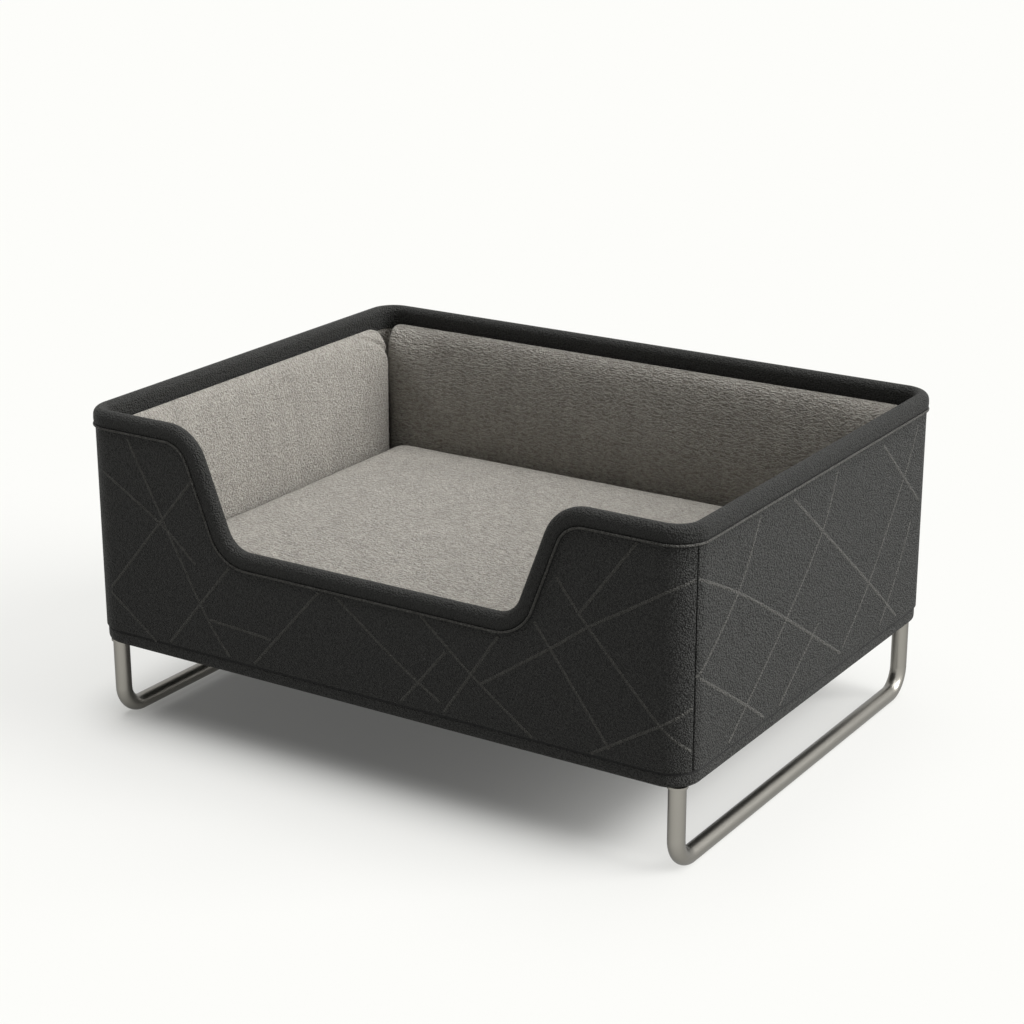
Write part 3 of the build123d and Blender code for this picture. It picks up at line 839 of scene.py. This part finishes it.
def swell(piece, cap):
    """Fills a pad: its cloth is blown out from the foam, evenly eased to a cap, with its back held."""
    start = [v.co.copy() for v in piece.data.vertices]
    held = piece.vertex_groups.new(name="held")
    held.add([i for i, co in enumerate(start) if co.z < HELD_HEIGHT], 1, "REPLACE")
    activate(piece)
    cloth = piece.modifiers.new("Cloth", "CLOTH")
    cloth.settings.quality = 4
    cloth.settings.mass = 0.3
    cloth.settings.tension_stiffness = 15
    cloth.settings.compression_stiffness = 15
    cloth.settings.bending_stiffness = 0.5
    cloth.settings.use_pressure = True
    cloth.settings.uniform_pressure_force = 4
    cloth.settings.effector_weights.gravity = 0
    cloth.settings.vertex_group_mass = "held"
    cloth.collision_settings.use_collision = False
    cloth.point_cache.frame_start = 1
    cloth.point_cache.frame_end = SWELL_FRAMES
    for number in range(1, SWELL_FRAMES + 1):
        bpy.context.scene.frame_set(number)
    bpy.ops.object.modifier_apply(modifier=cloth.name)
    bpy.context.scene.frame_set(1)
    moves = [vertex.co - place for vertex, place in zip(piece.data.vertices, start)]
    ease = min(1, cap / max(move.length for move in moves))
    for vertex, place, move in zip(piece.data.vertices, start, moves):
        vertex.co = place + move * ease
    piece.vertex_groups.clear()


def pad(name, breadth, height, form, voxel):
    """A padded cushion on the XY plane, face up: boxed, remeshed, rounded to its form and filled."""
    thick = form["side"] + form["edge"] + form["crown"]
    trim = 1 * MM
    spare = 0.3 * MM
    wide = breadth / 2 - trim
    tall = height / 2 - trim
    bpy.ops.object.select_all(action="DESELECT")
    bpy.ops.mesh.primitive_cube_add(size=2)
    piece = rename(name)
    for vertex in piece.data.vertices:
        vertex.co.x *= wide
        vertex.co.y *= tall
        vertex.co.z = (vertex.co.z + 1) / 2 * thick
    for edge in piece.data.edges:
        a, b = (piece.data.vertices[i].co for i in edge.vertices)
        edge.select = abs(a.z - b.z) > thick / 2
    for polygon in piece.data.polygons:
        polygon.select = False
    bpy.ops.object.mode_set(mode="EDIT")
    bpy.ops.mesh.select_mode(type="EDGE")
    bpy.ops.mesh.bevel(offset=form["corner"], segments=10, affect="EDGES")
    bpy.ops.object.mode_set(mode="OBJECT")
    activate(piece)
    piece.data.remesh_voxel_size = voxel
    bpy.ops.object.voxel_remesh()
    for vertex in piece.data.vertices:
        co = vertex.co
        full = form["edge"]
        rise = form["crown"]
        near = 1 - min(max((wide - abs(co.x)) / END_LENGTH, 0), 1)
        reach_up = form["reach"] * (1 - form["fuller_ends"] * near * near * (3 - 2 * near))
        for off, reach in ((wide - abs(co.x), form["end_reach"]), (tall - abs(co.y), reach_up)):
            full *= math.sqrt(1 - (1 - min(max(off / reach, 0), 1)) ** 2)
            rise *= 1 - (1 - min(max(off / form["crown_reach"], 0), 1)) ** 2
        co.z *= (form["side"] + full + rise) / thick
    swell(piece, form["swell"])
    modify(piece, "SMOOTH", factor=0.5, iterations=4)
    modify(piece, "SUBSURF", levels=1, render_levels=1)
    stretch_x = (breadth / 2 - spare) / max(abs(v.co.x) for v in piece.data.vertices)
    stretch_y = (height / 2 - spare) / max(abs(v.co.y) for v in piece.data.vertices)
    for vertex in piece.data.vertices:
        vertex.co.x *= stretch_x
        vertex.co.y *= stretch_y
    return piece


def settle(piece, matrix):
    """Moves a finished pad to its place, which stays in its mesh."""
    activate(piece)
    piece.matrix_world = matrix
    bpy.ops.object.transform_apply(location=True, rotation=True, scale=True)


# Section of a pad: upright side, rounded edge and how far in it reaches, crown, outline corner, how
# much tighter the long edges are rounded at the ends, and how far the cloth swells
BOLSTER_FORM = {
    "side": 6 * MM, "edge": 32 * MM, "reach": 130 * MM, "end_reach": 11 * MM, "crown": 1 * MM,
    "crown_reach": 125 * MM, "corner": 9 * MM, "fuller_ends": 0.75, "swell": 5 * MM,
}
CUSHION_FORM = {
    "side": 100 * MM, "edge": 17 * MM, "reach": 34 * MM, "end_reach": 34 * MM, "crown": 9 * MM,
    "crown_reach": 240 * MM, "corner": 46 * MM, "fuller_ends": 0, "swell": 6 * MM,
}


class DOGBED_OT_bolsters(bpy.types.Operator):
    """Three lift-out bolsters against the back and side walls"""

    bl_idname = "dogbed.bolsters"
    bl_label = "Bolsters"

    def execute(self, context):
        s = sizes()
        back_gap = 0.4 * MM
        for name in PADS:
            low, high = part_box(f"{name}_cover")
            wall = name.split("_")[0]
            out = -Vector((*OUTWARDS[wall], 0))
            side = Vector((-out.y, out.x, 0))
            spread = high - low
            breadth = abs(spread.dot(side))
            thick = abs(spread.dot(out))
            piece = pad(f"{name}_pad", breadth, spread.z, BOLSTER_FORM, s.bolster_voxel)
            if wall in SIDES:
                self.tuck(piece, breadth, spread.z, -SIDES[wall])
            middle = (low + high) / 2 - out * (thick / 2 - back_gap)
            settle(piece, Matrix.Translation(middle) @ Matrix((side, UP, out)).transposed().to_4x4())
            nodes = (f"{name}_cover", f"{name}_foam")
            dress(piece, name, "crinkled_upholstery_fabric", "woven_fabric", *nodes, smooth=180)
        return {"FINISHED"}

    def tuck(self, piece, breadth, height, end):
        """Draws in a curved crease where the face panel is sewn round the upper corner at the back."""
        bow = 52 * MM
        inset = 5 * MM
        deep = 6 * MM
        fold = 3.6 * MM
        face = 12 * MM
        fade = bow / 4
        centre = Vector((breadth / 2 - inset - bow, height / 2 - inset - bow))
        for vertex in piece.data.vertices:
            co = vertex.co
            arm = Vector((co.x * end, co.y)) - centre
            if co.z < face or arm.x < 0 or arm.y < 0:
                continue
            off = (arm.length - bow) / fold
            co.z -= deep * math.exp(-off * off) * min(1, min(arm.x, arm.y) / fade)


class DOGBED_OT_cushion(bpy.types.Operator):
    """The lift-out seat cushion"""

    bl_idname = "dogbed.cushion"
    bl_label = "Seat Cushion"

    def execute(self, context):
        s = sizes()
        low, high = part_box("cushion_cover")
        spread = high - low
        piece = pad("seat_cushion", spread.x, spread.y, CUSHION_FORM, s.cushion_voxel)
        settle(piece, Matrix.Translation(((low.x + high.x) / 2, (low.y + high.y) / 2, low.z)))
        nodes = ("cushion_cover", "cushion_base", "cushion_foam")
        dress(piece, "cushion", "crinkled_upholstery_fabric", "woven_fabric", *nodes, smooth=180)
        return {"FINISHED"}


class DOGBED_OT_finishes(bpy.types.Operator):
    """Finishes for the CAD nodes that show as they are"""

    bl_idname = "dogbed.finishes"
    bl_label = "Board and Hardware Finishes"

    def execute(self, context):
        finishes = {
            "birch_plywood": ("base_board", "_panel"),
            "turned_beech": ("_post", "corner_dowels"),
            "pressed_hardboard": ("_bolster_board",),
            "crinkled_upholstery_fabric": ("_lining",),
            "embossed_leatherette": ("base_wrap",),
            "zinc_plated_steel": ("base_screws", "tee_nuts", "leg_screws"),
            "brushed_stainless_steel": ("_leg_plate",),
            "spun_non_woven_and_painted_shade": ("dust_cover",),
            "hook_and_loop_tape": ("loop_strips", "_hook_strip"),
        }
        for node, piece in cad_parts.items():
            if piece.hide_render:
                continue
            found = [m for m, endings in finishes.items() if node.endswith(endings)]
            if not found:
                raise RuntimeError(f"no finish for {node}")
            piece.data.materials.clear()
            piece.data.materials.append(finish(found[0]))
        return {"FINISHED"}


# Each light's name, strength, spread in degrees and the way to it
STUDIO_LIGHTS = (
    ("key_light", 3.1, 40, (0.79, 0.3, 0.51)),
    ("top_light", 2.1, 60, (0.1, 0.1, 1)),
)
# The world's strength as light and as it is seen, and its colour
WORLD_LIGHT = 0.06
WORLD_SEEN = 0.965
WORLD_COLOUR = (1, 1, 0.98, 1)
# The floor: its size, the white of its painted glow, and the grey that it throws back
FLOOR_SIZE = 60
FLOOR_GLOW = (0.965, 0.965, 0.94, 1)
FLOOR_BOUNCE = "#858583"
# The painted light that lifts the floor's shadow: the middle and half size of the part where it is
# weakest, the distance over which it grows, and its share of glow in that part and away from it
SHADOW_MIDDLE = (-0.06, 0, 0)
SHADOW_HALF = (0.32, 0.25, 0)
SHADOW_FADE = 0.17
SHADOW_GLOW = 0.1
OPEN_GLOW = 0.7
# The camera: its place in metres, its turn in degrees, its lens and sensor in millimetres
CAMERA_PLACE = (1.6262, -2.5389, 1.3105)
CAMERA_TURN = (71.124, 0.07, 32.694)
CAMERA_LENS = 83.9
CAMERA_SENSOR = 36


class DOGBED_OT_stage(bpy.types.Operator):
    """A pale floor, soft studio light and the camera"""

    bl_idname = "dogbed.stage"
    bl_label = "Stage"

    def execute(self, context):
        scene = context.scene
        scene.view_settings.view_transform = "Standard"
        bpy.ops.object.select_all(action="DESELECT")
        bpy.ops.mesh.primitive_plane_add(size=FLOOR_SIZE)
        floor = rename("studio_floor")
        floor.data.materials.append(self.floor_material())
        self.light_world(scene)
        for name, energy, spread, way in STUDIO_LIGHTS:
            bpy.ops.object.light_add(type="SUN", location=way)
            lamp = context.object
            lamp.name = name
            lamp.data.energy = energy
            lamp.data.angle = math.radians(spread)
            lamp.rotation_euler = Vector(way).to_track_quat("Z", "Y").to_euler()
        bpy.ops.object.camera_add(location=CAMERA_PLACE)
        camera = context.object
        camera.rotation_euler = [math.radians(a) for a in CAMERA_TURN]
        camera.data.lens = CAMERA_LENS
        camera.data.sensor_width = CAMERA_SENSOR
        scene.camera = camera
        return {"FINISHED"}

    def floor_material(self):
        """White studio paper to the camera, with a grey bounce; a painted glow lifts its shadow, a little
        near the bed and more away from it.
        """
        material, tree, place = new_material("studio_paper")
        seen = self.seen(tree)
        paper = (*colours().floor, 1)
        bounce = (*linear(FLOOR_BOUNCE), 1)
        tint = add(tree, "ShaderNodeMix", {"data_type": "RGBA"}, _0=seen, _6=bounce, _7=paper).outputs[2]
        away = place
        steps = (
            ("SUBTRACT", {"_1": SHADOW_MIDDLE}),
            ("ABSOLUTE", {}),
            ("SUBTRACT", {"_1": SHADOW_HALF}),
            ("MAXIMUM", {"_1": (0, 0, 0)}),
        )
        for operation, by in steps:
            away = add(tree, "ShaderNodeVectorMath", {"operation": operation}, _0=away, **by).outputs[0]
        far = add(tree, "ShaderNodeVectorMath", {"operation": "LENGTH"}, _0=away).outputs["Value"]
        # Painted light: the glow's share grows away from the bed, so the floor's shadow fades out
        lift = add(
            tree, "ShaderNodeMapRange", {"interpolation_type": "SMOOTHSTEP"}, Value=far,
            From_Max=SHADOW_FADE, To_Min=SHADOW_GLOW, To_Max=OPEN_GLOW,
        ).outputs[0]
        share = add(tree, "ShaderNodeMath", {"operation": "MULTIPLY"}, _0=seen, _1=lift).outputs[0]
        matt = add(tree, "ShaderNodeBsdfDiffuse", Color=tint).outputs[0]
        glow = add(tree, "ShaderNodeEmission", Color=FLOOR_GLOW).outputs[0]
        shader = add(tree, "ShaderNodeMixShader", _0=share, _1=matt, _2=glow)
        add(tree, "ShaderNodeOutputMaterial", Surface=shader.outputs[0])
        return material

    def seen(self, tree):
        """One for rays from the camera, metal and glass, and nought for light that bounces."""
        path = add(tree, "ShaderNodeLightPath").outputs
        seen = path["Is Camera Ray"]
        for kind in ("Is Glossy Ray", "Is Transmission Ray"):
            seen = add(tree, "ShaderNodeMath", {"operation": "MAXIMUM"}, _0=seen, _1=path[kind]).outputs[0]
        return seen

    def light_world(self, scene):
        """Even light from all round; the camera, metal and glass see it as white."""
        world = bpy.data.worlds.new("studio_light")
        world.use_nodes = True
        tree = world.node_tree
        tree.nodes.clear()
        seen = self.seen(tree)
        level = add(tree, "ShaderNodeMapRange", Value=seen, To_Min=WORLD_LIGHT, To_Max=WORLD_SEEN)
        light = add(tree, "ShaderNodeBackground", Color=WORLD_COLOUR, Strength=level.outputs[0])
        add(tree, "ShaderNodeOutputWorld", Surface=light.outputs[0])
        scene.world = world


OPERATORS = (
    DOGBED_OT_covers,
    DOGBED_OT_rim,
    DOGBED_OT_piping,
    DOGBED_OT_lines,
    DOGBED_OT_legs,
    DOGBED_OT_bolsters,
    DOGBED_OT_cushion,
    DOGBED_OT_finishes,
    DOGBED_OT_stage,
)


class DOGBED_PT_panel(bpy.types.Panel):
    """The steps that dress the bed"""

    bl_idname = "DOGBED_PT_panel"
    bl_label = "Dog Bed"
    bl_space_type = "VIEW_3D"
    bl_region_type = "UI"
    bl_category = "Dog Bed"

    def draw(self, context):
        for operator in OPERATORS:
            self.layout.operator(operator.bl_idname)


CLASSES = (DogBedSizes, DogBedColours, *OPERATORS, DOGBED_PT_panel)


def register():
    for item in CLASSES:
        bpy.utils.register_class(item)
    bpy.types.Scene.dog_bed_sizes = bpy.props.PointerProperty(type=DogBedSizes)
    bpy.types.Scene.dog_bed_colours = bpy.props.PointerProperty(type=DogBedColours)


def unregister():
    del bpy.types.Scene.dog_bed_colours
    del bpy.types.Scene.dog_bed_sizes
    for item in reversed(CLASSES):
        bpy.utils.unregister_class(item)


def main():
    register()
    bpy.ops.dogbed.covers()
    bpy.ops.dogbed.rim()
    bpy.ops.dogbed.piping()
    bpy.ops.dogbed.lines()
    bpy.ops.dogbed.legs()
    bpy.ops.dogbed.bolsters()
    bpy.ops.dogbed.cushion()
    bpy.ops.dogbed.finishes()
    bpy.ops.dogbed.stage()


if __name__ == "__main__":
    main()
